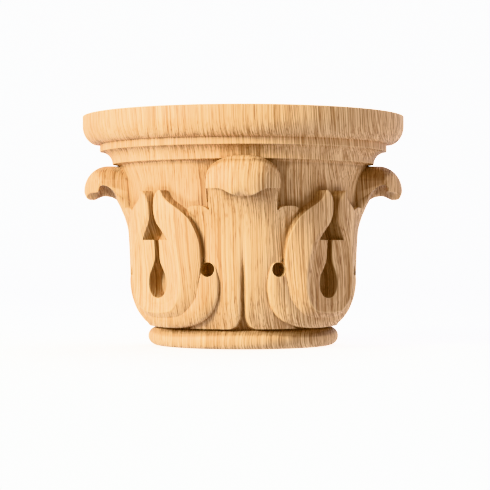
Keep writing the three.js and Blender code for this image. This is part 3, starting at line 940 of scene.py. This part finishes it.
def oak_finish():
    """Pale oak with leaning growth rings and fibres along the height, with painted shade in the hollows and
    a painted highlight on outward edges.
    """
    oak = bpy.data.materials.new("carved_oak")
    oak.use_nodes = True
    tree = oak.node_tree
    shader = tree.nodes["Principled BSDF"]
    place = add_node(tree, "ShaderNodeTexCoord").outputs["Object"]

    def stretched(source, scale):
        return add_node(tree, "ShaderNodeMapping", {"Vector": source, "Scale": scale}).outputs[0]

    def noise(source, detail, output="Fac"):
        node = add_node(tree, "ShaderNodeTexNoise", {"Vector": source, "Scale": 1.0, "Detail": detail})
        return node.outputs[output]

    def mark(name):
        return add_node(tree, "ShaderNodeAttribute", attribute_name=name).outputs["Fac"]

    def vectors(operation, first, second):
        return add_node(tree, "ShaderNodeVectorMath", {0: first, 1: second}, operation=operation).outputs[0]

    def wander(source, fineness, amount):
        """A place shifted sideways by soft noise, so the grain wavers along the height."""
        soft = noise(stretched(source, fineness), detail=1, output="Color")
        spread = vectors("SUBTRACT", soft, NOISE_MIDDLE)
        shift = vectors("MULTIPLY", spread, (amount, amount, 0.0))
        return vectors("ADD", source, shift)

    wavy = wander(wander(place, BROAD_WAVER, BROAD_WAVER_SHIFT), FINE_WAVER, FINE_WAVER_SHIFT)
    grain = add_node(tree, "ShaderNodeMapping", {"Vector": wavy, "Rotation": RING_TURN}).outputs[0]
    ring_place = add_node(tree, "ShaderNodeMapping", {
        "Vector": grain, "Location": PITH, "Scale": [1 / MILLIMETRE] * 3}).outputs[0]
    rings = add_node(tree, "ShaderNodeTexWave", {
        "Vector": ring_place, "Scale": RING_SCALE, "Distortion": RING_DISTORTION, "Detail": RING_DETAIL,
        "Detail Scale": RING_DETAIL_SCALE}, wave_type="RINGS", rings_direction="Z", wave_profile="SAW")
    normal = add_node(tree, "ShaderNodeNewGeometry").outputs["Normal"]
    facing = add_node(tree, "ShaderNodeSeparateXYZ", {0: normal}).outputs
    turned = maths(tree, "ABSOLUTE", facing["X"])
    sideways = remap(tree, turned, SIDE_FIBRES_FROM, SIDE_FIBRES_ALONE, 0.0, 1.0)
    front_fibres = noise(stretched(grain, FRONT_FIBRES), detail=2)
    side_fibres = noise(stretched(grain, SIDE_FIBRES), detail=2)
    fibres = blend(tree, "MIX", sideways, front_fibres, side_fibres)
    pores = noise(stretched(grain, PORES), detail=1)
    slow = noise(stretched(grain, SLOW_CHANGE), detail=2)

    ring_tone = ramp(tree, rings.outputs["Fac"], RING_TONES)
    tone = blend(tree, "MIX", RING_SHARE, ramp(tree, slow, SLOW_TONES), ring_tone)
    tone = blend(tree, "MULTIPLY", 1.0, tone, ramp(tree, fibres, STREAK_TONES))
    tone = blend(tree, "MULTIPLY", PORE_SHARE, tone, ramp(tree, pores, PORE_TONES))
    # Painted highlight: paler where the wood turns sharply outwards
    edge_light = remap(tree, mark("worn_edge"), HIGHLIGHT_FROM, 1.0, 0.0, HIGHLIGHT_SHARE)
    tone = blend(tree, "MIX", edge_light, tone, HIGHLIGHT_OAK)
    # Painted shade: darker where nearby wood closes the surface in
    tone = blend(tree, "MULTIPLY", 1.0, tone, ramp(tree, mark("hollow_shade"), HOLLOW_SHADE_TINTS))
    tree.links.new(tone, shader.inputs["Base Color"])
    roughness = remap(
        tree, fibres, DARK_FIBRE, PALE_FIBRE, DARK_FIBRE_ROUGHNESS, PALE_FIBRE_ROUGHNESS)
    tree.links.new(roughness, shader.inputs["Roughness"])
    shader.inputs["Specular IOR Level"].default_value = OAK_GLOSS
    relief = blend(tree, "MULTIPLY", RELIEF_PORE_SHARE, fibres, pores)
    bump = add_node(tree, "ShaderNodeBump", {
        "Height": relief, "Strength": RELIEF_STRENGTH, "Distance": RELIEF_DEPTH})
    tree.links.new(bump.outputs[0], shader.inputs["Normal"])
    return oak


# Stage
def floor_paint():
    paint = bpy.data.materials.new("pale_floor")
    paint.use_nodes = True
    shader = paint.node_tree.nodes["Principled BSDF"]
    shader.inputs["Base Color"].default_value = FLOOR_COLOUR
    shader.inputs["Roughness"].default_value = FLOOR_ROUGHNESS
    shader.inputs["Emission Color"].default_value = FLOOR_GLOW_COLOUR
    shader.inputs["Emission Strength"].default_value = FLOOR_GLOW
    return paint


def sweep():
    """Pale floor that curves up into a backdrop far behind."""
    line = [(FLOOR_FRONT, 0.0)]
    for i in range(FLOOR_BEND_STEPS + 1):
        a = QUARTER_TURN * i / FLOOR_BEND_STEPS
        line.append((FLOOR_BEND + FLOOR_BEND_RADIUS * math.sin(a), FLOOR_BEND_RADIUS * (1 - math.cos(a))))
    line.append((FLOOR_BEND + FLOOR_BEND_RADIUS, BACKDROP_HEIGHT))
    points = [Vector((side * FLOOR_HALF_WIDTH, y, z)) for y, z in line for side in (-1, 1)]
    faces = [(2 * i, 2 * i + 1, 2 * i + 3, 2 * i + 2) for i in range(len(line) - 1)]
    floor = body_from("floor_sweep", points, faces)
    floor.data.shade_smooth()
    floor.data.materials.append(floor_paint())
    floor.visible_diffuse = False
    floor.visible_glossy = False


def room_light():
    """Soft light from all round that changes with height and from front to back."""
    room = bpy.data.worlds.new("soft_room")
    room.use_nodes = True
    tree = room.node_tree
    background = tree.nodes["Background"]
    direction = add_node(tree, "ShaderNodeTexCoord").outputs["Generated"]
    toward = add_node(tree, "ShaderNodeSeparateXYZ", {0: direction}).outputs
    upward = remap(tree, toward["Z"], -ROOM_RISE, ROOM_RISE, LIGHT_FROM_BELOW, LIGHT_FROM_ABOVE)
    rearward = remap(tree, toward["Y"], -1.0, 1.0, LIGHT_FROM_FRONT, LIGHT_FROM_BEHIND)
    tree.links.new(maths(tree, "MULTIPLY", upward, rearward), background.inputs["Strength"])
    background.inputs["Color"].default_value = ROOM_COLOUR
    bpy.context.scene.world = room


def window_light():
    """Square soft light aimed at the middle of the capital."""
    target = Vector((0, 0, solid_high[2] / 2))
    rise = math.radians(WINDOW_ELEVATION)
    level = WINDOW_DISTANCE * math.cos(rise)
    place = target + polar(WINDOW_AZIMUTH, WINDOW_DISTANCE * math.sin(rise), level)
    light = bpy.data.lights.new("window_light", "AREA")
    light.shape = "SQUARE"
    light.size = WINDOW_SIZE
    light.energy = WINDOW_WATTS
    light.color = WINDOW_COLOUR
    lamp = bpy.data.objects.new("window_light", light)
    lamp.location = place
    lamp.rotation_euler = (target - place).to_track_quat("-Z", "Y").to_euler()
    bpy.context.scene.collection.objects.link(lamp)


def photo_camera():
    scene = bpy.context.scene
    scene.view_settings.view_transform = "Khronos PBR Neutral"
    camera = bpy.data.cameras.new("photo_camera")
    camera.lens = CAMERA_LENS
    camera.sensor_width = CAMERA_SENSOR
    eye = bpy.data.objects.new("photo_camera", camera)
    eye.location = CAMERA_PLACE
    eye.rotation_euler = (QUARTER_TURN, 0, 0)
    scene.collection.objects.link(eye)
    scene.camera = eye


capital = carved_capital(oak_finish())
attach(capital, "root")
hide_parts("capital")
sweep()
room_light()
window_light()
photo_camera()
